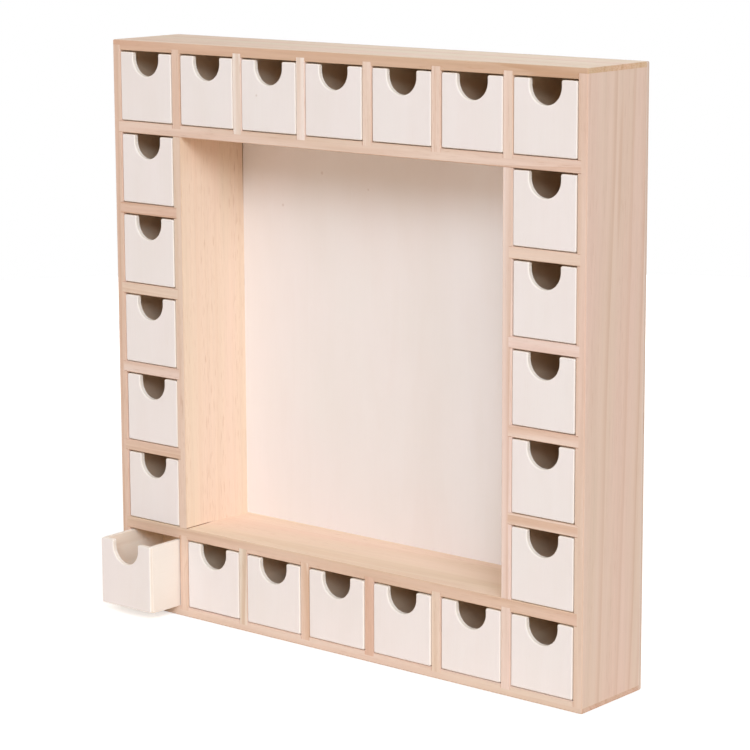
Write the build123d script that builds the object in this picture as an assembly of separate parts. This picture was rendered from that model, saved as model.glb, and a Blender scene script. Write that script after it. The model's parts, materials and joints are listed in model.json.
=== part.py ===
from build123d import *
import os

# Wooden advent calendar: a square standing frame of thin boards, with a ring of small drawers
# round an open recess. Millimetres, +Z up, and the front faces -Y.
# The origin is the middle of the bottom board's underside, at half of the frame's depth.

# Outside of the frame
FRAME_WIDTH = 400.0
FRAME_HEIGHT = 400.0
BOARD_DEPTH = 62.0
BACK_PANEL_THICKNESS = 3.0
OUTER_ROUND = 1.0

# Boards of the carcass. Rails, dividers and shelves stand in shallow housings, and at each corner
# a thin lip of the top or bottom board runs over the end of the side board.
OUTER_BOARD_THICKNESS = 7.0
RAIL_THICKNESS = 8.0
PARTITION_THICKNESS = 7.5
HOUSING_DEPTH = 2.5
CORNER_LIP = 3.5
BOARD_CHAMFER = 0.4

# How many drawers stand in a row, and in a column between the rails
ROW_DRAWERS = 7
COLUMN_DRAWERS = 5

# Drawers of thin plywood, all of one size
DRAWER_SIDE_CLEARANCE = 0.6
DRAWER_TOP_CLEARANCE = 1.2
DRAWER_BACK_CLEARANCE = 0.5
DRAWER_FRONT_THICKNESS = 3.5
DRAWER_SIDE_THICKNESS = 3.0
DRAWER_BACK_THICKNESS = 3.0
DRAWER_BOTTOM_THICKNESS = 3.0
DRAWER_FRONT_CHAMFER = 0.4

# Finger notch in a drawer's front: straight sides that end in a half circle
NOTCH_WIDTH = 24.0
NOTCH_STRAIGHT = 4.0
NOTCH_MOUTH_ROUND = 1.0

# How far the drawers of the bottom row stand out: one is open, and some aren't quite pushed home
OPEN_PULL = 29.0
PROUD_PULL = 0.8
BOTTOM_ROW_PULLS = (OPEN_PULL, 0, PROUD_PULL, PROUD_PULL, PROUD_PULL, 0, 0)

# Planes of the frame
RIGHT = FRAME_WIDTH / 2
LEFT = -RIGHT
FRONT = -(BOARD_DEPTH + BACK_PANEL_THICKNESS) / 2
BOARD_BACK = FRONT + BOARD_DEPTH
PANEL_BACK = BOARD_BACK + BACK_PANEL_THICKNESS
INNER_LEFT = LEFT + OUTER_BOARD_THICKNESS
INNER_RIGHT = RIGHT - OUTER_BOARD_THICKNESS
INNER_BOTTOM = OUTER_BOARD_THICKNESS
INNER_TOP = FRAME_HEIGHT - OUTER_BOARD_THICKNESS

# Every drawer has a cell of one size. The rails lie under the top row and over the bottom row.
CELL_WIDTH = (INNER_RIGHT - INNER_LEFT - (ROW_DRAWERS - 1) * PARTITION_THICKNESS) / ROW_DRAWERS
SHELVES_THICKNESS = (COLUMN_DRAWERS - 1) * PARTITION_THICKNESS
CELLS_HEIGHT = INNER_TOP - INNER_BOTTOM - 2 * RAIL_THICKNESS - SHELVES_THICKNESS
CELL_HEIGHT = CELLS_HEIGHT / (COLUMN_DRAWERS + 2)
CELL_PITCH_X = CELL_WIDTH + PARTITION_THICKNESS
CELL_PITCH_Z = CELL_HEIGHT + PARTITION_THICKNESS
LOWER_RAIL_UNDERSIDE = INNER_BOTTOM + CELL_HEIGHT
LOWER_RAIL_TOP = LOWER_RAIL_UNDERSIDE + RAIL_THICKNESS
UPPER_RAIL_TOP = INNER_TOP - CELL_HEIGHT
UPPER_RAIL_UNDERSIDE = UPPER_RAIL_TOP - RAIL_THICKNESS
LEFT_COLUMN_RIGHT = INNER_LEFT + CELL_WIDTH
RIGHT_COLUMN_LEFT = INNER_RIGHT - CELL_WIDTH

# A drawer lies on the floor of its cell, and its front is flush with the frame when it is shut
DRAWER_WIDTH = CELL_WIDTH - 2 * DRAWER_SIDE_CLEARANCE
DRAWER_HEIGHT = CELL_HEIGHT - DRAWER_TOP_CLEARANCE
DRAWER_LENGTH = BOARD_DEPTH - DRAWER_BACK_CLEARANCE


def block(x_low, x_high, y_low, y_high, z_low, z_high):
    """Box between two planes across each axis."""
    at_low_corner = (Align.MIN, Align.MIN, Align.MIN)
    box = Box(x_high - x_low, y_high - y_low, z_high - z_low, align=at_low_corner)
    return Pos(x_low, y_low, z_low) * box


def blank(x_low, x_high, z_low, z_high):
    """Square-edged board of the carcass, as deep as the frame."""
    return block(x_low, x_high, FRONT, BOARD_BACK, z_low, z_high)


def front_face(solid):
    return solid.faces().sort_by(Axis.Y)[0]


def inner_board(board, axis, housed=()):
    """Rail, upright, divider or shelf along the axis: front edges broken, then grooved."""
    board = chamfer(front_face(board).edges().filter_by(axis), BOARD_CHAMFER)
    return board - list(housed)


def outer_board(board, sanded_outside, housed):
    """Board of the outside: inner front edge broken, then grooved, then rounded on the outside."""
    frame_middle = (0, FRONT, FRAME_HEIGHT / 2)
    inside_edge = front_face(board).edges().sort_by_distance(frame_middle)[0]
    board = chamfer(inside_edge, BOARD_CHAMFER)
    return (board - list(housed)) & sanded_outside


def drawer_front():
    """Front of a drawer with the finger notch, standing on the origin and facing -Y."""
    notch_radius = NOTCH_WIDTH / 2
    straight_sides = Rectangle(NOTCH_WIDTH, NOTCH_STRAIGHT, align=(Align.CENTER, Align.MAX))
    half_round = Pos(0, -NOTCH_STRAIGHT) * Circle(notch_radius)
    sheet = Rectangle(DRAWER_WIDTH, DRAWER_HEIGHT, align=(Align.CENTER, Align.MIN))
    outline = sheet - Pos(0, DRAWER_HEIGHT) * (straight_sides + half_round)
    corners_along_top = outline.vertices().group_by(Axis.Y)[-1].sort_by(Axis.X)
    mouth_corners = corners_along_top[1:-1]
    outline = fillet(mouth_corners, NOTCH_MOUTH_ROUND)
    front = extrude(Plane.XZ * outline, amount=-DRAWER_FRONT_THICKNESS)
    return chamfer(front_face(front).edges(), DRAWER_FRONT_CHAMFER)


def drawer_solids():
    """Five pieces of a drawer: the front laps the sides, and back and bottom stand between them."""
    outside = DRAWER_WIDTH / 2
    inside = outside - DRAWER_SIDE_THICKNESS
    behind_front = DRAWER_FRONT_THICKNESS
    back_inside = DRAWER_LENGTH - DRAWER_BACK_THICKNESS
    left_side = block(-outside, -inside, behind_front, DRAWER_LENGTH, 0, DRAWER_HEIGHT)
    right_side = block(inside, outside, behind_front, DRAWER_LENGTH, 0, DRAWER_HEIGHT)
    back = block(-inside, inside, back_inside, DRAWER_LENGTH, 0, DRAWER_HEIGHT)
    bottom = block(-inside, inside, behind_front, back_inside, 0, DRAWER_BOTTOM_THICKNESS)
    return [drawer_front(), left_side, right_side, back, bottom]


def frame_boards():
    """Boards and back panel of the carcass by name."""
    left_side = blank(LEFT, INNER_LEFT, CORNER_LIP, FRAME_HEIGHT - CORNER_LIP)
    right_side = blank(INNER_RIGHT, RIGHT, CORNER_LIP, FRAME_HEIGHT - CORNER_LIP)
    rail_left = INNER_LEFT - HOUSING_DEPTH
    rail_right = INNER_RIGHT + HOUSING_DEPTH
    upper_rail = blank(rail_left, rail_right, UPPER_RAIL_UNDERSIDE, UPPER_RAIL_TOP)
    lower_rail = blank(rail_left, rail_right, LOWER_RAIL_UNDERSIDE, LOWER_RAIL_TOP)

    top_dividers = []
    bottom_dividers = []
    for index in range(1, ROW_DRAWERS):
        x_high = INNER_LEFT + index * CELL_PITCH_X
        x_low = x_high - PARTITION_THICKNESS
        top_dividers.append(blank(x_low, x_high, UPPER_RAIL_TOP - HOUSING_DEPTH, INNER_TOP + HOUSING_DEPTH))
        bottom_dividers.append(
            blank(x_low, x_high, INNER_BOTTOM - HOUSING_DEPTH, LOWER_RAIL_UNDERSIDE + HOUSING_DEPTH)
        )

    left_shelves = []
    right_shelves = []
    for index in range(1, COLUMN_DRAWERS):
        z_low = UPPER_RAIL_UNDERSIDE - index * CELL_PITCH_Z
        z_high = z_low + PARTITION_THICKNESS
        left_shelves.append(blank(rail_left, LEFT_COLUMN_RIGHT + HOUSING_DEPTH, z_low, z_high))
        right_shelves.append(blank(RIGHT_COLUMN_LEFT - HOUSING_DEPTH, rail_right, z_low, z_high))

    left_upright = blank(
        LEFT_COLUMN_RIGHT, LEFT_COLUMN_RIGHT + PARTITION_THICKNESS, LOWER_RAIL_TOP, UPPER_RAIL_UNDERSIDE
    )
    right_upright = blank(
        RIGHT_COLUMN_LEFT - PARTITION_THICKNESS, RIGHT_COLUMN_LEFT, LOWER_RAIL_TOP, UPPER_RAIL_UNDERSIDE
    )

    whole = block(LEFT, RIGHT, FRONT, PANEL_BACK, 0, FRAME_HEIGHT)
    sanded = fillet(whole.edges(), OUTER_ROUND)
    top = blank(LEFT, RIGHT, INNER_TOP, FRAME_HEIGHT)
    bottom = blank(LEFT, RIGHT, 0, INNER_BOTTOM)
    sides = [left_side, right_side]
    rails = [upper_rail, lower_rail]
    boards = {
        "top_board": outer_board(top, sanded, sides + top_dividers),
        "bottom_board": outer_board(bottom, sanded, sides + bottom_dividers),
        "left_side_board": outer_board(left_side, sanded, rails + left_shelves),
        "right_side_board": outer_board(right_side, sanded, rails + right_shelves),
        "upper_rail": inner_board(upper_rail, Axis.X, top_dividers),
        "lower_rail": inner_board(lower_rail, Axis.X, bottom_dividers),
        "left_inner_upright": inner_board(left_upright, Axis.Z, left_shelves),
        "right_inner_upright": inner_board(right_upright, Axis.Z, right_shelves),
        "back_panel": block(LEFT, RIGHT, BOARD_BACK, PANEL_BACK, 0, FRAME_HEIGHT) & sanded,
    }
    repeated = {
        "top_divider": (top_dividers, Axis.Z),
        "bottom_divider": (bottom_dividers, Axis.Z),
        "left_shelf": (left_shelves, Axis.X),
        "right_shelf": (right_shelves, Axis.X),
    }
    for name, (blanks, axis) in repeated.items():
        for number, board in enumerate(blanks, start=1):
            boards[f"{name}_{number}"] = inner_board(board, axis)
    return boards


def drawer_places():
    """Place of each drawer by name: rows count from the left, columns from the top."""
    middle_of_first = INNER_LEFT + CELL_WIDTH / 2
    places = {}
    for index in range(ROW_DRAWERS):
        x = middle_of_first + index * CELL_PITCH_X
        places[f"top_drawer_{index + 1}"] = Pos(x, FRONT, UPPER_RAIL_TOP)
        places[f"bottom_drawer_{index + 1}"] = Pos(x, FRONT - BOTTOM_ROW_PULLS[index], INNER_BOTTOM)
    for index in range(COLUMN_DRAWERS):
        z = UPPER_RAIL_UNDERSIDE - CELL_HEIGHT - index * CELL_PITCH_Z
        places[f"left_drawer_{index + 1}"] = Pos(middle_of_first, FRONT, z)
        places[f"right_drawer_{index + 1}"] = Pos(-middle_of_first, FRONT, z)
    return places


nodes = frame_boards()
pieces_of_drawer = drawer_solids()
for drawer_name, place in drawer_places().items():
    nodes[drawer_name] = Compound(children=[place * piece for piece in pieces_of_drawer])

os.makedirs("parts", exist_ok=True)
for node_name, shape in nodes.items():
    shape.label = node_name
    export_step(shape, f"parts/{node_name}.step")
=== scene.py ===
"""Looks of a wooden advent calendar: a standing frame of pale boards round an open recess, with a ring of
24 small plywood drawers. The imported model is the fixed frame. The boards and the back panel keep their
solids and get a procedural timber or plywood finish, and the drawers are replaced by finer ones.
"""

import json
import math
from collections import namedtuple

import bpy
import numpy as np
from bpy.props import FloatProperty, FloatVectorProperty, PointerProperty
from mathutils import Matrix, Quaternion, Vector

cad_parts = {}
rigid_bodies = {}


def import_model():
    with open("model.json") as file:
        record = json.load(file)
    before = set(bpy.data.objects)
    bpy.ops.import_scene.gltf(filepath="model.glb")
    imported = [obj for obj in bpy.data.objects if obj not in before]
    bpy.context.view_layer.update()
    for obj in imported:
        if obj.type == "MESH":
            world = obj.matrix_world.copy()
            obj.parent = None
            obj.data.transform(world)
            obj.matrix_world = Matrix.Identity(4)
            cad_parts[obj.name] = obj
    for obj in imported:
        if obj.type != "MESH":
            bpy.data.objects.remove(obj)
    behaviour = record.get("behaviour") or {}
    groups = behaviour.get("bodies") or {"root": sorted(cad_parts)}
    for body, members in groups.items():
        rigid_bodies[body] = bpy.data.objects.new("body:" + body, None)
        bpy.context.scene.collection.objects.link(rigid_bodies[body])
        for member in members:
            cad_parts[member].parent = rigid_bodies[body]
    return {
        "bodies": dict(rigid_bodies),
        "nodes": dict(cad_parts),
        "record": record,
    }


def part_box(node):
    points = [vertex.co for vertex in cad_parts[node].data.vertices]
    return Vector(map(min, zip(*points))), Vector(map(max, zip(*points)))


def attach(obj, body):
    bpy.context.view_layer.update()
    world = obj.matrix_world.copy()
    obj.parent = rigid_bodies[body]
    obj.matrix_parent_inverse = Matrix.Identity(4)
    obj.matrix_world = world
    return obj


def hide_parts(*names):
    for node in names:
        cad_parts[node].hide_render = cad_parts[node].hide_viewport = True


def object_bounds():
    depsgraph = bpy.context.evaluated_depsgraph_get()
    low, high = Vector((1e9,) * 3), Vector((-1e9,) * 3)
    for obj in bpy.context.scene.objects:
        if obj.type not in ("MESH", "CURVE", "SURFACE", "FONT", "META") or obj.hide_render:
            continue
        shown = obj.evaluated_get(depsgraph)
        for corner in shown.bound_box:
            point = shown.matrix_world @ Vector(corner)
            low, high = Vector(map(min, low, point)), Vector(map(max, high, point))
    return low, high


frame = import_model()
CAD_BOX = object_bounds()

bl_info = {
    "name": "Wooden advent calendar",
    "version": (1, 0, 0),
    "blender": (4, 5, 0),
    "location": "3D View > Sidebar > Calendar",
    "description": "Finishes the boards, builds the drawers and sets up the studio of an advent calendar",
    "category": "Object",
}

MILLIMETRE = 0.001


def screen_colour(red, green, blue):
    """Scene-linear colour of an 8-bit screen colour, by the sRGB curve."""
    share = np.array((red, green, blue)) / 255
    linear = np.where(share <= 0.04045, share / 12.92, ((share + 0.055) / 1.055) ** 2.4)
    return tuple(float(value) for value in linear)


def length_setting(name, description, millimetres):
    """A length that the user can change, in metres."""
    return FloatProperty(
        name=name,
        description=description,
        default=millimetres * MILLIMETRE,
        min=0,
        precision=5,
        subtype="DISTANCE",
        unit="LENGTH",
    )


def place_setting(name, description, place):
    """A point that the user can move, in metres."""
    return FloatVectorProperty(
        name=name, description=description, default=place, subtype="TRANSLATION", unit="LENGTH"
    )


def power_setting(name, description, watts):
    """A lamp's power that the user can change."""
    return FloatProperty(name=name, description=description, default=watts, min=0, unit="POWER")


def light_setting(name, description, red, green, blue):
    """A light's colour and strength that the user can change, scene-linear."""
    return FloatVectorProperty(
        name=name,
        description=description,
        default=(red, green, blue),
        min=0,
        max=1,
        subtype="COLOR",
    )


def colour_setting(name, description, red, green, blue):
    """A colour that the user can change, given as an 8-bit screen colour."""
    return light_setting(name, description, *screen_colour(red, green, blue))


class TimberSettings(bpy.types.PropertyGroup):
    """Finish of the solid boards, which are sawn from four tones of one timber."""

    plain: colour_setting("Plain boards", "Mean colour of most boards", 231, 204, 186)
    pale: colour_setting("Pale boards", "Mean colour of the palest boards", 237, 214, 202)
    rosy: colour_setting("Rosy boards", "Mean colour of the boards with a pink cast", 228, 200, 182)
    straw: colour_setting("Straw boards", "Mean colour of the yellow boards", 240, 216, 193)
    late: colour_setting("Late wood", "What late wood takes from the colour of early wood", 236, 222, 208)
    pore: colour_setting("Pores", "What a pore takes from the colour round it", 214, 190, 166)
    cast: colour_setting("Cast", "What turns a rosy streak into a green one", 246, 255, 247)
    joint: colour_setting("Open joints", "Dark line where two boards don't quite meet", 124, 80, 46)
    ring_width: length_setting("Ring width", "Distance between growth rings", 9.0)
    ring_wander: length_setting("Ring wander", "How far a ring strays from its circle", 5.0)


class PlywoodSettings(bpy.types.PropertyGroup):
    """Finish of the drawers and of the back panel."""

    front: colour_setting("Drawer fronts", "Sanded veneer on the fronts", 241, 233, 230)
    outside: colour_setting("Drawer outsides", "Veneer on the other outer faces", 243, 234, 224)
    # Painted light and shade: the next two are lit and shaded copies of the drawers' inner veneer.
    inside: colour_setting("Pale inside", "Sanded veneer on the inside of one drawer's side", 255, 240, 222)
    shaded_inside: colour_setting("Raw insides", "Bare veneer on all other insides of the drawers", 252, 227, 199)
    panel: colour_setting("Panel front", "Veneer of the back panel that shows in the recess", 241, 233, 229)
    rear: colour_setting("Panel rear", "Veneer of the back panel that faces the wall", 238, 218, 200)
    figure: colour_setting("Figure", "What the veneer's figure takes from its colour", 248, 244, 240)
    cast: colour_setting("Cast", "What turns a rosy patch into a green one", 248, 255, 251)
    edge: colour_setting("Edge", "Outer plies seen on a drawer's cut edges", 249, 241, 231)
    core: colour_setting("Core", "Middle ply seen on a drawer's cut edges", 247, 236, 222)
    panel_edge: colour_setting("Panel edge", "Outer plies seen on the back panel's edge", 224, 200, 184)
    panel_core: colour_setting("Panel core", "Middle ply seen on the back panel's edge", 212, 184, 164)
    knot: colour_setting("Pin knots", "Tiny knots and gaps in the plies", 168, 128, 100)


class DrawerSettings(bpy.types.PropertyGroup):
    """Sizes of a drawer's five panels. Its outside comes from the frame."""

    front: length_setting("Front", "Thickness of the front", 3.5)
    side: length_setting("Sides", "Thickness of the two sides", 3.0)
    back: length_setting("Back", "Thickness of the back", 3.0)
    bottom: length_setting("Bottom", "Thickness of the bottom", 3.0)
    notch_width: length_setting("Notch width", "Width of the finger notch", 24.0)
    notch_straight: length_setting("Notch sides", "Height of the notch's straight sides", 4.0)
    mouth_round: length_setting("Notch mouth", "Round at the two corners of the notch's mouth", 1.0)
    face_round: length_setting("Front edge round", "Round along the front's outer edge", 0.8)
    front_rise: length_setting("Front rise", "Gap between the front and the board below it", 0.6)
    edge_round: length_setting("Edge round", "Round along all other edges", 0.25)
    play: length_setting("Play", "How far a drawer may stand off the middle of its cell", 0.3)


class StageSettings(bpy.types.PropertyGroup):
    """Camera, lamps, floor and backdrop."""

    camera_place: place_setting("Camera place", "Where the camera stands", (1.1202, -1.3287, 0.5304))
    camera_aim: place_setting("Camera aim", "Point that the camera looks at", (0.0071, 0.0, 0.2207))
    camera_roll: FloatProperty(
        name="Camera roll",
        description="Turn of the camera about its own line of sight",
        default=math.radians(-0.241),
        subtype="ANGLE",
        unit="ROTATION",
    )
    camera_lens: FloatProperty(
        name="Camera lens",
        description="Focal length on a sensor 36 mm wide",
        default=128.17,
        min=1,
        unit="CAMERA",
    )
    camera_rise: FloatProperty(
        name="Camera shift",
        description="How far the picture is moved up on the sensor, as a share of its width",
        default=-0.07,
        subtype="FACTOR",
    )
    key_power: power_setting("Key lamp", "Power of the soft lamp in front, above the camera", 328)
    key_colour: light_setting("Key colour", "Colour of the key lamp", 0.812, 0.895, 1.0)
    fill_power: power_setting("Fill lamp", "Power of the soft lamp behind the left corner", 27)
    room_front: light_setting("Room in front", "Even light from the front of the room", 0.463, 0.393, 0.326)
    room_behind: light_setting("Room behind", "Even light from the rear of the room", 0.289, 0.275, 0.26)
    ceiling: FloatProperty(
        name="Ceiling",
        description="Share of the room light that comes from overhead",
        default=0.95,
        min=0,
        subtype="FACTOR",
    )
    floor_radius: length_setting("Floor radius", "Radius of the round floor", 1600)
    floor_colour: colour_setting("Floor colour", "Pale floor, as it is seen", 244, 243, 242)
    floor_bounce: colour_setting("Floor bounce", "Cream that the floor casts on the object", 246, 234, 218)


# Numbers of the Mix node's sockets for colours, which share their names with its other sockets.
MIX_SHARE, MIX_FIRST, MIX_SECOND = 0, 6, 7
MIX_RESULT = 2


class Wiring:
    """Adds nodes to one node tree. A socket that it returns can be an input of the next node."""

    def __init__(self, tree):
        self.tree = tree

    def add(self, kind, inputs=None, **settings):
        """Adds a node, sets its settings, then sets or links its inputs by name or number."""
        node = self.tree.nodes.new(kind)
        for key, value in settings.items():
            setattr(node, key, value)
        for key, value in (inputs or {}).items():
            if isinstance(value, bpy.types.NodeSocket):
                self.tree.links.new(value, node.inputs[key])
            else:
                node.inputs[key].default_value = value
        return node

    def math(self, operation, *values):
        """Result of a sum on one or two numbers."""
        return self.add("ShaderNodeMath", dict(enumerate(values)), operation=operation).outputs[0]

    def chain(self, operation, values):
        """Numbers joined one after another by the same sum."""
        result = values[0]
        for value in values[1:]:
            result = self.math(operation, result, value)
        return result

    def times(self, *values):
        """Product of numbers."""
        return self.chain("MULTIPLY", values)

    def plus(self, *values):
        """Sum of numbers."""
        return self.chain("ADD", values)

    def minus(self, *values):
        """The first number less the others."""
        return self.chain("SUBTRACT", values)

    def largest(self, *values):
        """Largest of numbers."""
        return self.chain("MAXIMUM", values)

    def vector(self, operation, *values):
        """Result of a sum on vectors, or the number that it gives."""
        node = self.add("ShaderNodeVectorMath", dict(enumerate(values)), operation=operation)
        return node.outputs["Value" if operation == "LENGTH" else "Vector"]

    def scaled(self, vector, amount):
        """Vector times a number."""
        node = self.add("ShaderNodeVectorMath", {0: vector, "Scale": amount}, operation="SCALE")
        return node.outputs["Vector"]

    def noise(self, place, waves, detail=2.0, roughness=0.5, output="Fac"):
        """Noise from 0 to 1, with its waves per metre along each axis."""
        inputs = {"Vector": self.vector("MULTIPLY", place, waves), "Scale": 1.0}
        inputs.update({"Detail": detail, "Roughness": roughness})
        return self.add("ShaderNodeTexNoise", inputs, noise_dimensions="3D").outputs[output]

    def step(self, value, start, end):
        """Smooth step from 0 at start to 1 at end."""
        inputs = {"Value": value, "From Min": start, "From Max": end}
        return self.add("ShaderNodeMapRange", inputs, interpolation_type="SMOOTHSTEP").outputs["Result"]

    def between(self, value, low, high):
        """Value from 0 to 1 stretched to run from low to high."""
        inputs = {"Value": value, "To Min": low, "To Max": high}
        return self.add("ShaderNodeMapRange", inputs).outputs["Result"]

    def mix(self, share, first, second, blend="MIX"):
        """Colour that goes from first to second as share goes from 0 to 1."""
        inputs = {MIX_SHARE: share, MIX_FIRST: first, MIX_SECOND: second}
        settings = {"data_type": "RGBA", "blend_type": blend, "clamp_factor": False}
        return self.add("ShaderNodeMix", inputs, **settings).outputs[MIX_RESULT]

    def tinted(self, colour, tint, share):
        """Colour times a tint, by a share that may go below 0 or past 1."""
        return self.mix(share, colour, self.mix(1.0, colour, tint, "MULTIPLY"))

    def parts(self, vector):
        """The three numbers of a vector."""
        return self.add("ShaderNodeSeparateXYZ", {0: vector}).outputs

    def give(self, node, **values):
        """Links sockets to a node's inputs by their names."""
        for label, socket in values.items():
            self.tree.links.new(socket, node.inputs[label])


def opaque(colour):
    """Colour with full alpha, for a colour socket."""
    return (*colour, 1.0)


FINISH_OUTPUTS = {"Colour": "NodeSocketColor", "Roughness": "NodeSocketFloat", "Height": "NodeSocketFloat"}


def shader_group(name, inputs):
    """New shader node group for a finish. Returns its wiring, its input sockets and its output node."""
    tree = bpy.data.node_groups.new(name, "ShaderNodeTree")
    for label, (kind, default) in inputs.items():
        socket = tree.interface.new_socket(label, in_out="INPUT", socket_type=kind)
        socket.default_value = default
    for label, kind in FINISH_OUTPUTS.items():
        tree.interface.new_socket(label, in_out="OUTPUT", socket_type=kind)
    wiring = Wiring(tree)
    return wiring, wiring.add("NodeGroupInput").outputs, wiring.add("NodeGroupOutput")


NOISE_MEAN = 0.5

# Waves per metre of the timber's noises, along the grain and across it.
STRAY_WAVES = (2.4, 11, 11)
UNEVEN_WAVES = (0, 60, 60)
STREAK_WAVES = (2.2, 60, 60)
HUE_WAVES = (2.6, 34, 34)
FIBRE_WAVES = (12, 760, 760)
PORE_WAVES = (85, 1400, 1400)
LINE_WAVES = (6, 240, 240)
DOT_WAVES = (900, 1400, 1400)

# Where the timber's steps start and end, and how far its shades run.
LATE_RISE = (0.55, 0.97)
LATE_FALL = (1.0, 0.97)
LATE_STRENGTH = (0.05, 0.7)
RING_UNEVENNESS = 1.6
PORE_LEVEL = (0.58, 0.7)
PORE_STREAKS = (0.35, 0.65)
STREAK_MEAN = 0.58
HUE_RANGE = (-1.0, 1.0)
FIBRE_SHADES = (0.94, 1.07)
DOT_LEVEL = (0.4, 0.7)
END_SHADES = (0.9, 1.6)
SQUARE_ON = (0.6, 0.9)
SLANTING = (0.97, 0.85)
# Painted shade on the arrises, which tones down their highlight.
ARRIS_PAINTED_SHADE = 0.6
EDGE_LINES = 1.3
LATE_HEIGHT = 0.3
TIMBER_ROUGHNESS = (0.58, 0.78)


def timber_group(settings):
    """Sawn timber in a board's own place: x runs along the grain, and the rings circle the x axis.

    Ring number = distance from the axis / ring width. Within a ring the early wood darkens slowly to the
    late wood and ends sharply. Streaks, fibres and pores are noise drawn out along the grain. The figure is
    lighter and darker than the timber's mean colour by about the same amount. A board's narrow edge, which
    faces along y, has a timber, a shade and a cast of its own, and finer lines. End grain is browner and
    dotted. An arris, where the normal lies between two axes, is a little browner than the faces beside it,
    as painted shade that tones down its highlight.
    """
    inputs = {
        "Place": ("NodeSocketVector", (0, 0, 0)),
        "Facing": ("NodeSocketVector", (0, 0, 1)),
        "Timber": ("NodeSocketColor", opaque(settings.plain)),
        "Edge timber": ("NodeSocketColor", opaque(settings.plain)),
        "Edge shade": ("NodeSocketFloat", 0.0),
        "Edge cast": ("NodeSocketFloat", 0.0),
        "Figure": ("NodeSocketFloat", 1.0),
        "Pores": ("NodeSocketFloat", 0.5),
    }
    wiring, given, result = shader_group("Sawn timber", inputs)
    place = given["Place"]
    late_tint = opaque(settings.late)
    cast_tint = opaque(settings.cast)

    stray = wiring.noise(place, STRAY_WAVES, output="Color")
    stray = wiring.vector("SUBTRACT", stray, (NOISE_MEAN, NOISE_MEAN, NOISE_MEAN))
    stray = wiring.scaled(stray, settings.ring_wander * 2)
    across = wiring.vector("MULTIPLY", wiring.vector("ADD", place, stray), (0, 1, 1))
    ring = wiring.math("DIVIDE", wiring.vector("LENGTH", across), settings.ring_width)
    uneven = wiring.noise(across, UNEVEN_WAVES, detail=1)
    ring = wiring.plus(ring, wiring.times(uneven, RING_UNEVENNESS))
    within = wiring.math("FRACT", ring)
    late = wiring.times(wiring.step(within, *LATE_RISE), wiring.step(within, *LATE_FALL))
    number = wiring.math("FLOOR", ring)
    strength = wiring.add("ShaderNodeTexWhiteNoise", {"W": number}, noise_dimensions="1D").outputs["Value"]
    late = wiring.times(late, wiring.between(strength, *LATE_STRENGTH))

    streak = wiring.noise(place, STREAK_WAVES, detail=5, roughness=0.7)
    hue = wiring.noise(place, HUE_WAVES)
    fibre = wiring.noise(place, FIBRE_WAVES, detail=3, roughness=0.65)
    pore = wiring.step(wiring.noise(place, PORE_WAVES, detail=1), *PORE_LEVEL)
    pore = wiring.times(pore, wiring.step(streak, *PORE_STREAKS), wiring.minus(1.0, late))

    facing = wiring.parts(wiring.vector("ABSOLUTE", given["Facing"]))
    narrow = wiring.step(facing["Y"], *SQUARE_ON)
    line = wiring.minus(wiring.noise(place, LINE_WAVES, detail=3), NOISE_MEAN)
    line = wiring.times(line, narrow, EDGE_LINES)
    figure = wiring.plus(late, wiring.minus(streak, STREAK_MEAN))
    figure = wiring.plus(wiring.times(figure, given["Figure"]), line)
    colour = wiring.mix(narrow, given["Timber"], given["Edge timber"])
    colour = wiring.tinted(colour, late_tint, figure)
    colour = wiring.tinted(colour, cast_tint, wiring.between(hue, *HUE_RANGE))
    colour = wiring.scaled(colour, wiring.between(fibre, *FIBRE_SHADES))
    colour = wiring.tinted(colour, opaque(settings.pore), wiring.times(pore, given["Pores"]))

    cut = wiring.step(facing["X"], *SQUARE_ON)
    dots = wiring.step(wiring.noise(place, DOT_WAVES), *DOT_LEVEL)
    colour = wiring.tinted(colour, late_tint, wiring.times(cut, wiring.between(dots, *END_SHADES)))
    colour = wiring.tinted(colour, late_tint, wiring.times(narrow, given["Edge shade"]))
    colour = wiring.tinted(colour, cast_tint, wiring.times(narrow, given["Edge cast"]))
    # Painted shade: the rounded arrises are tinted browner to tone down their highlight.
    squarest = wiring.largest(facing["X"], facing["Y"], facing["Z"])
    arris = wiring.step(squarest, *SLANTING)
    colour = wiring.tinted(colour, late_tint, wiring.times(arris, ARRIS_PAINTED_SHADE))

    height = wiring.minus(wiring.plus(fibre, wiring.times(late, LATE_HEIGHT)), pore)
    wiring.give(result, Colour=colour, Roughness=wiring.between(fibre, *TIMBER_ROUGHNESS), Height=height)
    return wiring.tree


# Waves per metre of the veneer's noises, along the grain and across it.
HILL_WAVES = (2.2, 16, 0)
VENEER_WAVES = (16, 800, 0)
CLOUD_WAVES = (14, 40, 0)
FLECK_WAVES = (110, 1300, 0)
PATCH_WAVES = (16, 22, 0)
CUT_WAVES = (650, 650, 0)
GAP_WAVES = (45, 45, 0)

# Where the veneer's steps start and end, and how much each part of its figure counts.
CONTOURS = 11.0
BAND_RISE = (0.05, 0.8)
BAND_FALL = (1.0, 0.82)
CLOUD_LEVEL = (0.35, 0.75)
FLECK_LEVEL = (0.66, 0.76)
GAP_LEVEL = (0.8, 0.84)
FIBRE_SHARE = 0.5
CLOUD_SHARE = 0.4
FLECK_SHARE = 0.4
FIGURE_MEAN = 0.47
KNOT_CELLS = 24.0
KNOT_RARITY = 0.95
KNOT_REACH = (0.026, 0.008)
KNOT_STRENGTH = 0.55
VENEER_ROUGHNESS = (0.55, 0.72)

# Shares of a plywood panel's thickness, from the outer face or from the middle.
MIDDLE = 0.5
INNER_HALF = (0.4, 0.6)
CUT_EDGE = (0.495, 0.43)
CORE_PLY = (0.2, 0.15)
CORE_SHADES = (0.4, 1.0)
CUT_HEIGHT = 0.8


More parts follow.
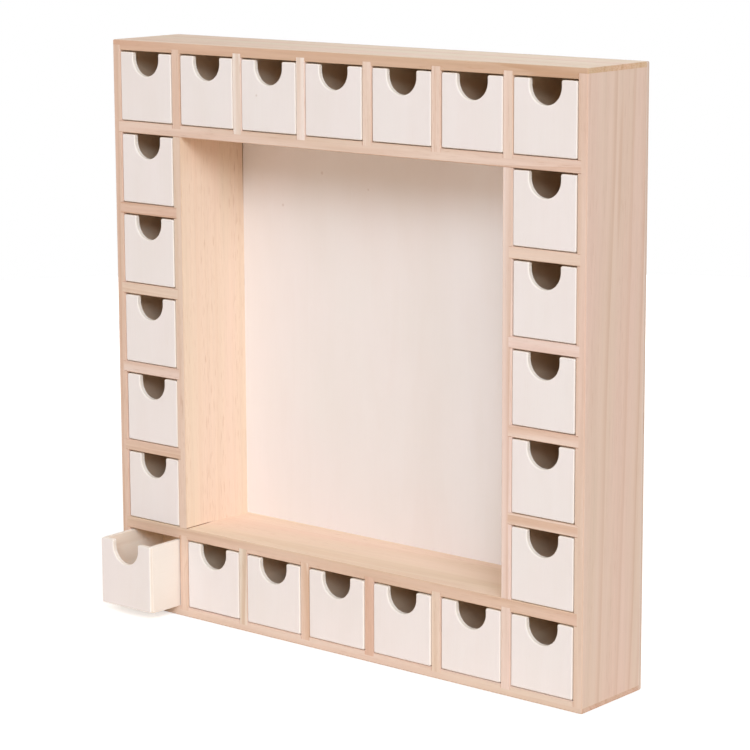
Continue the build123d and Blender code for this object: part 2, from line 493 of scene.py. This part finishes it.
def plywood_group(settings):
    """Peeled veneer on the faces, and three plies on the cut edges.

    Place is metres along the grain, metres across it, and the share of the thickness, which is 0 on the
    outer face and 1 on the inner face. The figure is a few waves of noise drawn out along the grain, cut
    into bands as the heights of a contour map are, with fibres, clouds and flecks. Pin knots are spots in a
    few of the cells of a Voronoi pattern.
    """
    inputs = {
        "Place": ("NodeSocketVector", (0, 0, 0)),
        "Outer": ("NodeSocketColor", opaque(settings.front)),
        "Inner": ("NodeSocketColor", opaque(settings.inside)),
        "Edge": ("NodeSocketColor", opaque(settings.edge)),
        "Core": ("NodeSocketColor", opaque(settings.core)),
        "Figure": ("NodeSocketFloat", 1.0),
        "Bands": ("NodeSocketFloat", 0.12),
        "Knots": ("NodeSocketFloat", 1.0),
    }
    wiring, given, result = shader_group("Peeled plywood", inputs)
    share = wiring.parts(given["Place"])["Z"]
    place = wiring.vector("MULTIPLY", given["Place"], (1, 1, 0))

    hill = wiring.noise(place, HILL_WAVES, roughness=0.45)
    band = wiring.math("FRACT", wiring.times(hill, CONTOURS))
    band = wiring.times(wiring.step(band, *BAND_RISE), wiring.step(band, *BAND_FALL))
    fibre = wiring.noise(place, VENEER_WAVES, detail=3, roughness=0.6)
    cloud = wiring.step(wiring.noise(place, CLOUD_WAVES, detail=3), *CLOUD_LEVEL)
    fleck = wiring.step(wiring.noise(place, FLECK_WAVES, detail=1), *FLECK_LEVEL)
    figure = wiring.plus(
        wiring.times(band, given["Bands"]),
        wiring.times(fibre, FIBRE_SHARE),
        wiring.times(cloud, CLOUD_SHARE),
        wiring.times(fleck, FLECK_SHARE),
    )
    figure = wiring.times(wiring.minus(figure, FIGURE_MEAN), given["Figure"])
    colour = wiring.mix(wiring.step(share, *INNER_HALF), given["Outer"], given["Inner"])
    colour = wiring.tinted(colour, opaque(settings.figure), figure)
    hue = wiring.minus(wiring.noise(place, PATCH_WAVES), NOISE_MEAN)
    colour = wiring.tinted(colour, opaque(settings.cast), wiring.times(hue, given["Figure"]))

    spread = {"Vector": place, "Scale": KNOT_CELLS}
    cells = wiring.add("ShaderNodeTexVoronoi", spread, voronoi_dimensions="2D").outputs
    chosen = wiring.math("GREATER_THAN", wiring.parts(cells["Color"])["X"], KNOT_RARITY)
    spot = wiring.step(cells["Distance"], *KNOT_REACH)
    knot = wiring.times(spot, chosen, given["Knots"])
    colour = wiring.mix(wiring.times(knot, KNOT_STRENGTH), colour, opaque(settings.knot))

    from_middle = wiring.math("ABSOLUTE", wiring.minus(share, MIDDLE))
    edge = wiring.step(from_middle, *CUT_EDGE)
    rough = wiring.noise(place, CUT_WAVES)
    core = wiring.times(wiring.step(from_middle, *CORE_PLY), wiring.between(rough, *CORE_SHADES))
    gap = wiring.step(wiring.noise(place, GAP_WAVES, detail=0), *GAP_LEVEL)
    cut = wiring.mix(core, given["Edge"], given["Core"])
    cut = wiring.mix(wiring.times(gap, core, given["Knots"]), cut, opaque(settings.knot))
    colour = wiring.mix(edge, colour, cut)

    height = wiring.minus(wiring.plus(fibre, wiring.times(edge, rough, CUT_HEIGHT)), knot)
    wiring.give(result, Colour=colour, Roughness=wiring.between(fibre, *VENEER_ROUGHNESS), Height=height)
    return wiring.tree


def finish_group(name, maker, settings):
    """The named node group, built the first time that a material needs it."""
    return bpy.data.node_groups.get(name) or maker(settings)


RELIEF_STRENGTH = 0.35
BARE_WOOD_GLOSS = 0.25


def dull_surface(wiring, finish, relief):
    """Bare wood: the group's colour, roughness and height on a dull shader."""
    bump = wiring.add(
        "ShaderNodeBump",
        {"Strength": RELIEF_STRENGTH, "Distance": relief, "Height": finish.outputs["Height"]},
    )
    shader = wiring.add(
        "ShaderNodeBsdfPrincipled",
        {
            "Base Color": finish.outputs["Colour"],
            "Roughness": finish.outputs["Roughness"],
            "Normal": bump.outputs["Normal"],
            "Specular IOR Level": BARE_WOOD_GLOSS,
        },
    )
    wiring.add("ShaderNodeOutputMaterial", {"Surface": shader.outputs["BSDF"]})


def empty_material(name):
    """New node material with nothing in it, and its wiring."""
    material = bpy.data.materials.new(name)
    material.use_nodes = True
    material.node_tree.nodes.clear()
    return material, Wiring(material.node_tree)


def own_place(wiring):
    """Object coordinates, in metres in the frame."""
    return wiring.add("ShaderNodeTexCoord").outputs["Object"]


def turned_place(wiring, axes, shift):
    """Object coordinates turned to a board's axes and then shifted."""
    inputs = {"Vector": own_place(wiring), "Location": shift, "Rotation": axes.to_euler("XYZ")}
    return wiring.add("ShaderNodeMapping", inputs, vector_type="POINT").outputs["Vector"]


def turned_facing(wiring, axes):
    """The object's normal turned to a board's axes."""
    normal = wiring.add("ShaderNodeTexCoord").outputs["Normal"]
    inputs = {"Vector": normal, "Rotation": axes.to_euler("XYZ")}
    return wiring.add("ShaderNodeMapping", inputs, vector_type="VECTOR").outputs["Vector"]


def grain_axes(low, high):
    """Rows that turn the object's axes to a board's: along the grain, across it, and through its thickness.

    The grain runs along the longer side of the board's front edge, and across it is the frame's depth.
    """
    upright = high.z - low.z > high.x - low.x
    rows = ((0, 0, 1), (0, 1, 0), (-1, 0, 0)) if upright else ((1, 0, 0), (0, 1, 0), (0, 0, 1))
    return Matrix(rows)


def wear(node_name, material):
    """Puts one material on a node of the frame."""
    slots = frame["nodes"][node_name].data.materials
    slots.clear()
    slots.append(material)


# Where a board lies in its log: metres from the pith, metres along the grain, and the grain's lean.
PITH_NEAREST = 0.07
PITH_FURTHEST = 0.16
GRAIN_RUN = 3.0
GRAIN_LEAN = math.radians(2.2)
BOARD_SEED = 11
BOARD_RELIEF = 0.15 * MILLIMETRE
BOARD_TONES = {
    "pale": (
        "bottom_board",
        "top_divider_2",
        "top_divider_3",
        "bottom_divider_2",
        "bottom_divider_6",
        "left_shelf_3",
        "right_shelf_2",
        "right_inner_upright",
    ),
    "rosy": ("right_side_board", "left_side_board", "upper_rail"),
    "straw": ("top_board", "lower_rail", "left_inner_upright"),
}

# Tone of a board's front edge where it isn't that of its faces.
EDGE_TIMBERS = {"straw": "plain"}

# Shares of the late tint and of the cast on a board's front edge, which is paler or rosier below 0.
NO_SHADES = (0.0, 0.0)
EDGE_SHADES = {
    "top_board": (1.0, 0.0),
    "bottom_board": (0.45, 0.4),
    "lower_rail": (0.55, 0.0),
    "left_side_board": (0.25, 0.3),
    "right_side_board": (0.15, 0.0),
    "left_inner_upright": (0.1, 0.0),
    "right_inner_upright": (0.1, 0.0),
    "top_divider_1": (0.3, 0.0),
    "top_divider_2": (-0.2, 0.5),
    "top_divider_3": (-0.7, 0.3),
    "top_divider_4": (-0.3, 0.2),
    "top_divider_5": (-0.3, 0.0),
    "top_divider_6": (-0.2, 0.0),
    "bottom_divider_1": (0.25, 0.3),
    "bottom_divider_2": (0.1, 1.0),
    "bottom_divider_3": (-0.5, 0.0),
    "bottom_divider_4": (0.7, 0.0),
    "bottom_divider_5": (-0.1, 0.4),
    "bottom_divider_6": (0.3, 0.0),
    "left_shelf_1": (0.45, 0.0),
    "left_shelf_2": (0.0, 0.3),
    "left_shelf_3": (0.2, 0.0),
    "left_shelf_4": (0.4, 0.0),
    "right_shelf_1": (0.1, 0.0),
    "right_shelf_4": (-0.1, -0.2),
}
COMMON_PORES = 0.4
PORES = {"left_inner_upright": 0.5, "right_side_board": 0.2}
COMMON_FIGURE = 1.2
FIGURES = {"right_side_board": 1.0, "top_board": 1.0, "lower_rail": 0.45, "left_inner_upright": 0.25}


def board_timbers(name, settings):
    """Colours of the tones of timber that a board's faces and its front edge have."""
    tone = next((tone for tone, boards in BOARD_TONES.items() if name in boards), "plain")
    return [opaque(getattr(settings, timber)) for timber in (tone, EDGE_TIMBERS.get(tone, tone))]


# Width of each open joint, and how far along it is gone and still full. The painted shade under the upper
# rail fades in the same way.
OPEN_BOARD = "left_inner_upright"
FOOT_GAP = 0.7 * MILLIMETRE
FOOT_RUN = (28 * MILLIMETRE, 18 * MILLIMETRE)
REAR_GAP = 0.9 * MILLIMETRE
REAR_RUN = (60 * MILLIMETRE, 10 * MILLIMETRE)
PAINTED_SHADE_RUN = (35 * MILLIMETRE, 0.0)
PAINTED_SHADE_SHARE = 0.55


def open_joints_and_painted_shade(wiring, timber, settings):
    """The left upright's timber, browner at its upper end as painted shade under the upper rail, and dark
    along two open joints that fade out.

    One joint is at its foot and runs back from the front. The other is against the back panel and runs down
    from the upper rail.
    """
    place = wiring.parts(own_place(wiring))
    rail_low, rail_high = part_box("lower_rail")
    front, foot = rail_low.y, rail_high.z
    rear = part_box("back_panel")[0].y
    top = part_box("upper_rail")[0].z
    low = wiring.step(place["Z"], foot + FOOT_GAP, foot + FOOT_GAP / 2)
    ahead = wiring.step(place["Y"], *(front + run for run in FOOT_RUN))
    deep = wiring.step(place["Y"], rear - REAR_GAP, rear - REAR_GAP / 2)
    above = wiring.step(place["Z"], *(top - run for run in REAR_RUN))
    gap = wiring.largest(wiring.times(low, ahead), wiring.times(deep, above))
    # Painted shade: the top of the board, under the upper rail, is tinted browner.
    painted_shade = wiring.step(place["Z"], *(top - run for run in PAINTED_SHADE_RUN))
    timber = wiring.tinted(timber, opaque(settings.late), wiring.times(painted_shade, PAINTED_SHADE_SHARE))
    return wiring.mix(gap, timber, opaque(settings.joint))


class CALENDAR_OT_boards(bpy.types.Operator):
    """Give each solid board its own piece of pale timber, with the grain along its length"""

    bl_idname = "calendar.boards"
    bl_label = "Finish the boards"

    def execute(self, context):
        settings = context.scene.calendar_timber
        group = finish_group("Sawn timber", timber_group, settings)
        boards = sorted(set(frame["record"]["behaviour"]["bodies"]["carcass"]) - {"back_panel"})
        draws = np.random.default_rng(BOARD_SEED).uniform(size=(len(boards), 3))
        for name, (run, reach, turn) in zip(boards, draws):
            low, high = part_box(name)
            axes = Matrix.Rotation((reach * 2 - 1) * GRAIN_LEAN, 3, "Z") @ grain_axes(low, high)
            pith = PITH_NEAREST + reach * (PITH_FURTHEST - PITH_NEAREST)
            angle = turn * 2 * math.pi
            offset = Vector((run * GRAIN_RUN, pith * math.cos(angle), pith * math.sin(angle)))
            material, wiring = empty_material("timber_" + name)
            timber, edge_timber = board_timbers(name, settings)
            # The left upright gets painted shade at its top and two dark open joints.
            if name == OPEN_BOARD:
                timber = open_joints_and_painted_shade(wiring, timber, settings)
            shade, cast = EDGE_SHADES.get(name, NO_SHADES)
            inputs = {
                "Place": turned_place(wiring, axes, offset - axes @ ((low + high) / 2)),
                "Facing": turned_facing(wiring, axes),
                "Timber": timber,
                "Edge timber": edge_timber,
                "Edge shade": shade,
                "Edge cast": cast,
                "Figure": FIGURES.get(name, COMMON_FIGURE),
                "Pores": PORES.get(name, COMMON_PORES),
            }
            finish = wiring.add("ShaderNodeGroup", inputs, node_tree=group)
            dull_surface(wiring, finish, BOARD_RELIEF)
            wear(name, material)
        return {"FINISHED"}


PLYWOOD_RELIEF = 0.1 * MILLIMETRE
PANEL_AXES = ((0, 0, 1), (1, 0, 0), (0, 1, 0))
PANEL_SHIFT = (0.37, 0.21)

# Strength of the panel's figure and of its bands, in front and behind.
PANEL_FIGURE = (0.5, 1.5)
PANEL_BANDS = (0.12, 0.75)

# Where the panel's front starts and ends to turn paler, in metres from the middle, and by what share. The
# paler right is painted light where the right upright shades the panel.
PANEL_PAINTED_LIGHT_SPAN = (0.02, 0.09)
PANEL_PAINTED_LIGHT = -1.3
FRONT_KNOTS = ((-0.0998, 0.2869, 0.0013), (-0.064, 0.3117, 0.0015), (-0.023, 0.3035, 0.001))
FRONT_KNOT_STRENGTH = 0.2


def panel_front(wiring, face, settings):
    """Veneer on the panel's front: paler to the right as painted light where the right upright shades it,
    with a few faint pin knots at x, z and radius.
    """
    veneer = opaque(settings.panel)
    place = own_place(wiring)
    for across, up, radius in FRONT_KNOTS:
        away = wiring.vector("LENGTH", wiring.vector("SUBTRACT", place, (across, face, up)))
        spot = wiring.times(wiring.step(away, radius, radius / 2), FRONT_KNOT_STRENGTH)
        veneer = wiring.mix(spot, veneer, opaque(settings.knot))
    # Painted light: the veneer turns paler towards the right, where the right upright shades it.
    paler = wiring.times(wiring.step(wiring.parts(place)["X"], *PANEL_PAINTED_LIGHT_SPAN), PANEL_PAINTED_LIGHT)
    return wiring.tinted(veneer, opaque(settings.figure), paler)


class CALENDAR_OT_back_panel(bpy.types.Operator):
    """Give the back panel an upright peeled veneer, pale and plain in front and figured behind"""

    bl_idname = "calendar.back_panel"
    bl_label = "Finish the back panel"

    def execute(self, context):
        settings = context.scene.calendar_plywood
        group = finish_group("Peeled plywood", plywood_group, settings)
        low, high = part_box("back_panel")
        material, wiring = empty_material("plywood_back_panel")
        place = turned_place(wiring, Matrix(PANEL_AXES), Vector((*PANEL_SHIFT, -low.y)))
        place = wiring.vector("MULTIPLY", place, (1, 1, 1 / (high.y - low.y)))
        behind = wiring.step(wiring.parts(place)["Z"], *INNER_HALF)
        inputs = {
            "Place": place,
            "Outer": panel_front(wiring, low.y, settings),
            "Inner": opaque(settings.rear),
            "Edge": opaque(settings.panel_edge),
            "Core": opaque(settings.panel_core),
            "Figure": wiring.between(behind, *PANEL_FIGURE),
            "Bands": wiring.between(behind, *PANEL_BANDS),
            "Knots": behind,
        }
        finish = wiring.add("ShaderNodeGroup", inputs, node_tree=group)
        dull_surface(wiring, finish, PLYWOOD_RELIEF)
        wear("back_panel", material)
        return {"FINISHED"}


CORNER_STEPS = 5
NOTCH_STEPS = 33
EDGE_STEPS = 4


def arc(centre, radius, start, end, steps, hollow=False):
    """Points c + r (cos a, sin a) for a from start to end in degrees, and normals out of the panel.

    The normals are (cos a, sin a), or their opposites round a hollow.
    """
    angle = np.radians(np.linspace(start, end, steps))
    way = np.stack((np.cos(angle), np.sin(angle)), axis=1)
    return np.array(centre) + radius * way, -way if hollow else way


def panel_outline(width, height, corner, notch=None):
    """Outline of a panel, anticlockwise from its lower left corner, as points and outward normals.

    It is a rectangle on the origin with rounded corners. A notch, given as width, straight side and mouth
    round, goes down from the middle of the top edge: two mouth rounds, and a half circle below its straight
    sides.
    """
    left, right = -width / 2 + corner, width / 2 - corner
    arcs = [
        arc((left, corner), corner, 180, 270, CORNER_STEPS),
        arc((right, corner), corner, 270, 360, CORNER_STEPS),
        arc((right, height - corner), corner, 0, 90, CORNER_STEPS),
    ]
    if notch:
        notch_width, straight, mouth = notch
        half = notch_width / 2
        arcs += [
            arc((half + mouth, height - mouth), mouth, 90, 180, CORNER_STEPS),
            arc((0, height - straight), half, 0, -180, NOTCH_STEPS, hollow=True),
            arc((-half - mouth, height - mouth), mouth, 0, 90, CORNER_STEPS),
        ]
    arcs.append(arc((left, height - corner), corner, 90, 180, CORNER_STEPS))
    points, normals = zip(*arcs)
    return np.concatenate(points), np.concatenate(normals)


def panel_surface(outline, thickness, outer_round, inner_round):
    """An edge profile carried round a panel's outline, closed by the two faces.

    Ring j lies at depth d(j) and is drawn in from the outline by i(j), where (i, d) follows a quarter
    circle, the flat edge and another quarter circle. Point = outline - i(j) normal. The normal turns from
    the outer face's to the outline's and on to the inner face's. Returns points (across, up, depth),
    normals and faces.
    """
    points, outward = outline
    turn = np.linspace(0, np.pi / 2, EDGE_STEPS)
    inset = np.concatenate((outer_round * (1 - np.sin(turn)), inner_round * (1 - np.cos(turn))))
    depth = np.concatenate((outer_round * (1 - np.cos(turn)), thickness - inner_round * (1 - np.sin(turn))))
    sideways = np.concatenate((np.sin(turn), np.cos(turn)))
    inwards = np.concatenate((-np.cos(turn), np.sin(turn)))
    rings, count = len(inset), len(points)
    flat = points[None] - inset[:, None, None] * outward[None]
    place = np.concatenate((flat, np.broadcast_to(depth[:, None, None], (rings, count, 1))), axis=2)
    side = sideways[:, None, None] * outward[None]
    normal = np.concatenate((side, np.broadcast_to(inwards[:, None, None], (rings, count, 1))), axis=2)
    index = np.arange(rings * count).reshape(rings, count)
    after = np.roll(index, -1, axis=1)
    quads = np.stack((index[:-1], index[1:], after[1:], after[:-1]), axis=2).reshape(-1, 4)
    return place.reshape(-1, 3), normal.reshape(-1, 3), [*quads, index[0], index[-1][::-1]]


PlywoodPanel = namedtuple("PlywoodPanel", "outline thickness outer_round origin across up upright")


def drawer_panels(size, settings):
    """The five panels of a drawer: the front, the left side, the right side, the back and the bottom.

    Each has an outline, a thickness, the round of its outer edge, an origin, the axes across it and up it,
    and whether its grain runs up it. Places are measured from the drawer's lower left front corner, and a
    panel's origin is the middle of its lower outer edge.
    """
    width, length, height = size
    x_axis, y_axis, z_axis = np.eye(3)
    middle = width / 2
    behind = (settings.front + length) / 2
    side_length = length - settings.front
    inner_width = width - 2 * settings.side
    corner, rise = settings.edge_round, settings.front_rise
    notch = (settings.notch_width, settings.notch_straight, settings.mouth_round)
    front = panel_outline(width, height - rise, settings.face_round + corner, notch)
    side = panel_outline(side_length, height, corner)
    back = panel_outline(inner_width, height, corner)
    bottom = panel_outline(inner_width, side_length - settings.back, corner)
    bottom_origin = (middle, length - settings.back, 0)
    return [
        PlywoodPanel(front, settings.front, settings.face_round, (middle, 0, rise), x_axis, z_axis, True),
        PlywoodPanel(side, settings.side, corner, (0, behind, 0), -y_axis, z_axis, False),
        PlywoodPanel(side, settings.side, corner, (width, behind, 0), y_axis, z_axis, False),
        PlywoodPanel(back, settings.back, corner, (middle, length, 0), -x_axis, z_axis, False),
        PlywoodPanel(bottom, settings.bottom, corner, bottom_origin, x_axis, -y_axis, True),
    ]


# Numbers of panels in a drawer, and the panel whose inside gets the pale, lit copy of the veneer, as
# painted light.
FRONT, LEFT_SIDE = 0, 1
LIT_INSIDES = {"bottom_drawer_1": LEFT_SIDE}
VENEER_STEP = 0.37


def keep_vectors(mesh, name, rows):
    """Keeps a vector for each point of a mesh, under the name that the material reads."""
    attribute = mesh.attributes.new(name, "FLOAT_VECTOR", "POINT")
    attribute.data.foreach_set("vector", np.concatenate(rows).astype(np.float32).ravel())


def build_drawer(name, settings, material, draw):
    """One drawer of five panels in place of its node, with each panel's own place kept for the material.

    The draw says where the drawer stands in its cell, and which piece of veneer its panels are cut from.
    """
    aside, along, across = draw
    low, high = (np.array(corner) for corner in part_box(name))
    stand = low + np.array((settings.play * (aside * 2 - 1), 0, 0))
    places, normals, faces, grains, kinds = [], [], [], [], []
    start = 0
    for number, panel in enumerate(drawer_panels(high - low, settings)):
        outer_round, inner_round = panel.outer_round, settings.edge_round
        local, turned, polygons = panel_surface(panel.outline, panel.thickness, outer_round, inner_round)
        axes = np.stack((panel.across, panel.up, -np.cross(panel.across, panel.up)))
        places.append(stand + panel.origin + local @ axes)
        normals.append(turned @ axes)
        faces += [(polygon + start).tolist() for polygon in polygons]
        order = (1, 0) if panel.upright else (0, 1)
        shift = GRAIN_RUN * np.array((along, (across + VENEER_STEP * number) % 1))
        grains.append(np.column_stack((local[:, order] + shift, local[:, 2] / panel.thickness)))
        # Painted shade: all inner faces but the lit one take the browner, shaded copy of the veneer.
        shaded_inside = LIT_INSIDES.get(name) != number
        kinds.append(np.tile((number == FRONT, shaded_inside, 0), (len(local), 1)))
        start += len(local)
    mesh = bpy.data.meshes.new(name + "_plywood")
    mesh.from_pydata(np.concatenate(places).tolist(), [], faces, shade_flat=False)
    keep_vectors(mesh, "veneer_place", grains)
    keep_vectors(mesh, "veneer_kind", kinds)
    mesh.materials.append(material)
    mesh.normals_split_custom_set_from_vertices(np.concatenate(normals).tolist())
    drawer = bpy.data.objects.new(name + "_plywood", mesh)
    bpy.context.scene.collection.objects.link(drawer)
    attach(drawer, name)
    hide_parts(name)


DRAWER_SEED = 24

# Strength of a drawer's figure and of its bands, outside and inside, and of its pin knots.
DRAWER_FIGURE = (0.6, 1.4)
DRAWER_BANDS = (0.12, 0.5)
DRAWER_KNOTS = 0.5


def kept_vectors(wiring, name):
    """The vectors that a mesh keeps under a name."""
    return wiring.add("ShaderNodeAttribute", attribute_name=name).outputs["Vector"]


class CALENDAR_OT_drawers(bpy.types.Operator):
    """Build the 24 drawers, each of a notched front, two sides, a back and a bottom of thin plywood"""

    bl_idname = "calendar.drawers"
    bl_label = "Build the drawers"

    def execute(self, context):
        settings = context.scene.calendar_plywood
        group = finish_group("Peeled plywood", plywood_group, settings)
        material, wiring = empty_material("plywood_drawers")
        place = kept_vectors(wiring, "veneer_place")
        kind = wiring.parts(kept_vectors(wiring, "veneer_kind"))
        within = wiring.step(wiring.parts(place)["Z"], *INNER_HALF)
        inputs = {
            "Place": place,
            "Outer": wiring.mix(kind["X"], opaque(settings.outside), opaque(settings.front)),
            # Painted light and shade: the pale, lit or the browner, shaded copy of the inner veneer.
            "Inner": wiring.mix(kind["Y"], opaque(settings.inside), opaque(settings.shaded_inside)),
            "Figure": wiring.between(within, *DRAWER_FIGURE),
            "Bands": wiring.between(within, *DRAWER_BANDS),
            "Knots": DRAWER_KNOTS,
        }
        finish = wiring.add("ShaderNodeGroup", inputs, node_tree=group)
        dull_surface(wiring, finish, PLYWOOD_RELIEF)
        drawers = sorted(set(frame["bodies"]) - {"carcass"})
        draws = np.random.default_rng(DRAWER_SEED).uniform(size=(len(drawers), 3))
        for name, draw in zip(drawers, draws):
            build_drawer(name, context.scene.calendar_drawer, material, draw)
        return {"FINISHED"}


WHITE = (1.0, 1.0, 1.0)

# Lamps in metres, and where the room's two colours and its ceiling blend, as parts of a direction.
KEY_PLACE = (3.645, -3.855, 3.4)
KEY_SIZE = (5.0, 2.4)
FILL_PLACE = (-1.1, 2.1, 0.4)
FILL_SIZE = (1.2, 1.2)
ROOM_BLEND = (-0.3, 0.3)
ROOM_CEILING = (0.1, 0.9)

FLOOR_RINGS = 24
FLOOR_SPOKES = 96
FLOOR_BELOW = 0.4 * MILLIMETRE
FLOOR_ROUGHNESS = 0.9
FLOOR_GLOW = 0.55


def stand_camera(scene, settings):
    """Camera at its place, aimed, rolled and shifted as the settings say."""
    camera = bpy.data.objects.new("camera", bpy.data.cameras.new("camera"))
    camera.data.lens = settings.camera_lens
    camera.data.shift_y = settings.camera_rise
    place, aim = Vector(settings.camera_place), Vector(settings.camera_aim)
    camera.location = place
    camera.rotation_mode = "QUATERNION"
    roll = Quaternion((0, 0, 1), settings.camera_roll)
    camera.rotation_quaternion = (aim - place).to_track_quat("-Z", "Y") @ roll
    scene.collection.objects.link(camera)
    scene.camera = camera


def soft_lamp(name, power, size, place, aim, colour=WHITE):
    """Area lamp of a given width and height that faces a point."""
    lamp = bpy.data.lights.new(name, "AREA")
    lamp.energy = power
    lamp.color = colour
    lamp.shape = "RECTANGLE"
    lamp.size, lamp.size_y = size
    stand = bpy.data.objects.new(name, lamp)
    stand.location = place
    stand.visible_camera = False
    stand.rotation_mode = "QUATERNION"
    stand.rotation_quaternion = (Vector(aim) - Vector(place)).to_track_quat("-Z", "Y")
    bpy.context.scene.collection.objects.link(stand)


def seen_directly(wiring):
    """1 for a ray from the camera, a mirror or glass, and 0 for one that lights a dull surface."""
    path = wiring.add("ShaderNodeLightPath").outputs
    return wiring.largest(path["Is Camera Ray"], path["Is Glossy Ray"], path["Is Transmission Ray"])


def light_room(scene, settings):
    """World that looks white and lights the object evenly, from in front and from behind in two colours."""
    world = bpy.data.worlds.new("studio")
    world.use_nodes = True
    world.node_tree.nodes.clear()
    wiring = Wiring(world.node_tree)
    direction = wiring.parts(wiring.add("ShaderNodeTexCoord").outputs["Generated"])
    behind = wiring.step(direction["Y"], *ROOM_BLEND)
    room = wiring.mix(behind, opaque(settings.room_front), opaque(settings.room_behind))
    above = wiring.step(direction["Z"], *ROOM_CEILING)
    room = wiring.scaled(room, wiring.between(above, 1.0, settings.ceiling))
    seen = wiring.mix(seen_directly(wiring), room, opaque(WHITE))
    light = wiring.add("ShaderNodeBackground", {"Color": seen, "Strength": 1.0})
    wiring.add("ShaderNodeOutputWorld", {"Surface": light.outputs["Background"]})
    scene.world = world


def floor_disc(radius):
    """Flat disc under the object: (r cos a, r sin a) on a grid of rings and spokes."""
    reach = np.linspace(0, radius, FLOOR_RINGS)[1:]
    angle = np.linspace(0, 2 * np.pi, FLOOR_SPOKES, endpoint=False)
    rim = np.stack((np.outer(reach, np.cos(angle)), np.outer(reach, np.sin(angle))), axis=2)
    flat = np.concatenate((np.zeros((1, 2)), rim.reshape(-1, 2)))
    points = np.column_stack((flat, np.full(len(flat), -FLOOR_BELOW)))
    index = np.arange(1, len(points)).reshape(len(reach), FLOOR_SPOKES)
    after = np.roll(index, -1, axis=1)
    quads = np.stack((index[:-1], index[1:], after[1:], after[:-1]), axis=2).reshape(-1, 4)
    middle = np.column_stack((np.zeros(FLOOR_SPOKES, int), index[0], after[0]))
    mesh = bpy.data.meshes.new("floor")
    mesh.from_pydata(points.tolist(), [], quads.tolist() + middle.tolist())
    return mesh


def lay_floor(scene, settings):
    """Pale floor that keeps the object's shadow, looks white and throws a cream light back."""
    material, wiring = empty_material("pale_floor")
    seen = seen_directly(wiring)
    shader = wiring.add(
        "ShaderNodeBsdfPrincipled",
        {
            "Base Color": wiring.mix(seen, opaque(settings.floor_bounce), opaque(settings.floor_colour)),
            "Roughness": FLOOR_ROUGHNESS,
            "Specular IOR Level": 0.0,
            "Emission Color": opaque(WHITE),
            "Emission Strength": wiring.times(seen, FLOOR_GLOW),
        },
    )
    wiring.add("ShaderNodeOutputMaterial", {"Surface": shader.outputs["BSDF"]})
    mesh = floor_disc(settings.floor_radius)
    mesh.materials.append(material)
    floor = bpy.data.objects.new("floor", mesh)
    scene.collection.objects.link(floor)


class CALENDAR_OT_stage(bpy.types.Operator):
    """Set up the camera, the soft lamps, the pale floor and the white backdrop"""

    bl_idname = "calendar.stage"
    bl_label = "Set up the stage"

    def execute(self, context):
        scene = context.scene
        settings = scene.calendar_stage
        scene.view_settings.view_transform = "Standard"
        stand_camera(scene, settings)
        middle = (CAD_BOX[0] + CAD_BOX[1]) / 2
        soft_lamp("key_lamp", settings.key_power, KEY_SIZE, KEY_PLACE, middle, settings.key_colour)
        soft_lamp("fill_lamp", settings.fill_power, FILL_SIZE, FILL_PLACE, middle)
        light_room(scene, settings)
        lay_floor(scene, settings)
        return {"FINISHED"}


class CALENDAR_PT_sidebar(bpy.types.Panel):
    """The calendar's settings and its building steps, in the sidebar of the 3D view"""

    bl_idname = "CALENDAR_PT_sidebar"
    bl_label = "Advent calendar"
    bl_space_type = "VIEW_3D"
    bl_region_type = "UI"
    bl_category = "Calendar"

    def draw(self, context):
        for name, operator in STEPS.items():
            box = self.layout.box()
            settings = getattr(context.scene, name)
            for key in settings.__annotations__:
                box.prop(settings, key)
            box.operator(operator.bl_idname)


SETTINGS = {
    "calendar_timber": TimberSettings,
    "calendar_plywood": PlywoodSettings,
    "calendar_drawer": DrawerSettings,
    "calendar_stage": StageSettings,
}
STEPS = {
    "calendar_timber": CALENDAR_OT_boards,
    "calendar_plywood": CALENDAR_OT_back_panel,
    "calendar_drawer": CALENDAR_OT_drawers,
    "calendar_stage": CALENDAR_OT_stage,
}
CLASSES = [*SETTINGS.values(), *STEPS.values(), CALENDAR_PT_sidebar]


def register():
    """Adds the classes, and the settings on each scene."""
    for item in CLASSES:
        bpy.utils.register_class(item)
    for name, group in SETTINGS.items():
        setattr(bpy.types.Scene, name, PointerProperty(type=group))


def unregister():
    """Takes away what register added."""
    for name in SETTINGS:
        delattr(bpy.types.Scene, name)
    for item in reversed(CLASSES):
        bpy.utils.unregister_class(item)


def main():
    """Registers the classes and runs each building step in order."""
    register()
    bpy.ops.calendar.boards()
    bpy.ops.calendar.back_panel()
    bpy.ops.calendar.drawers()
    bpy.ops.calendar.stage()


if __name__ == "__main__":
    main()
